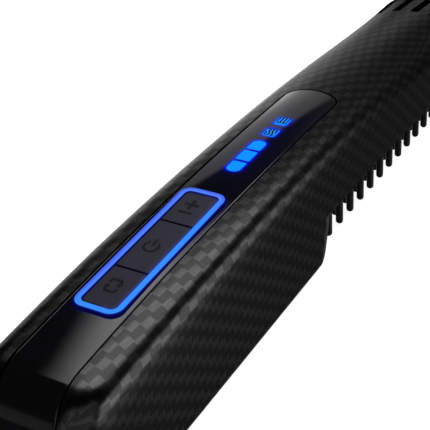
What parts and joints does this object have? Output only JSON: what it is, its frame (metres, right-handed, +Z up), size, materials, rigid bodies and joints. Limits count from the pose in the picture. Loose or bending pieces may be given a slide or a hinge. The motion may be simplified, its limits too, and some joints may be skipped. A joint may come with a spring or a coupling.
{
  "type": "heated beard straightener",
  "caption": "Cordless heated beard straightener: arched carbon-look shell, deep handle with lit keys, and a shallower head with a heated comb between bristle rows.",
  "frame": {"origin": "centre of the bounding box at the flat underside of the handle", "axes": "+Y along the body from butt to head, +Z up out of the control panel, +X to the right seen from the butt"},
  "size_m": [0.03, 0.222, 0.0357],
  "materials": {
    "carbon_shell": "clear-coated woven carbon pattern",
    "black_cover": "fine satin moulding",
    "panel_black": "polished dark panel",
    "ring_blue": "lit clear frame",
    "light_blue": "lit windows",
    "key_grey": "soft satin",
    "board": "lacquered circuit board",
    "component": "moulded",
    "switch": "moulded",
    "lamp": "clear moulding",
    "screw_steel": "blackened",
    "cell_wrap": "shrink-wrapped can",
    "cradle": "moulded",
    "nickel": "bright strip",
    "lead": "insulated lead",
    "port_steel": "drawn shell",
    "bristle_black": "smooth moulding",
    "heater_metal": "dark anodised",
    "ceramic_white": "fired",
    "mica": "pressed mineral sheet",
    "clamp_steel": "rolled",
    "sensor": "coated bead"
  },
  "bodies": {
    "straightener_body": {"main_housing": "carbon_shell", "base_cover": "black_cover", "control_panel": "panel_black", "light_ring": "ring_blue", "push_switches": "switch", "indicator_light_guide": "light_blue", "main_board": "board", "light_sources": "lamp", "board_components": "component", "board_screws": "screw_steel", "base_screws": "screw_steel", "battery_cell": "cell_wrap", "battery_cradle": "cradle", "battery_contacts": "nickel", "battery_leads": "lead", "port_shell": "port_steel", "port_tongue": "component", "charging_board": "board", "comb_frame": "bristle_black", "heater_comb": "heater_metal", "ceramic_heater": "ceramic_white", "insulating_sheet": "mica", "heater_clamp": "clamp_steel", "heater_screws": "screw_steel", "comb_screw": "screw_steel", "temperature_sensor": "sensor", "thermal_fuse": "nickel", "heater_leads": "lead"},
    "mode_key_body": {"mode_key": "key_grey", "mode_plunger": "switch"},
    "power_key_body": {"power_key": "key_grey", "power_plunger": "switch"},
    "level_key_body": {"level_key": "key_grey", "level_plunger": "switch"}
  },
  "joints": [
    {"name": "mode_press", "type": "slide", "parent": "straightener_body", "child": "mode_key_body", "axis": [0, 0.0353, -0.9994], "range_m": [0, 0.0005], "stiffness_N_per_m": 800, "springref_m": -0.0005},
    {"name": "power_press", "type": "slide", "parent": "straightener_body", "child": "power_key_body", "axis": [0, 0.0353, -0.9994], "range_m": [0, 0.0005], "stiffness_N_per_m": 800, "springref_m": -0.0005},
    {"name": "level_press", "type": "slide", "parent": "straightener_body", "child": "level_key_body", "axis": [0, 0.0353, -0.9994], "range_m": [0, 0.0005], "stiffness_N_per_m": 800, "springref_m": -0.0005}
  ]
}
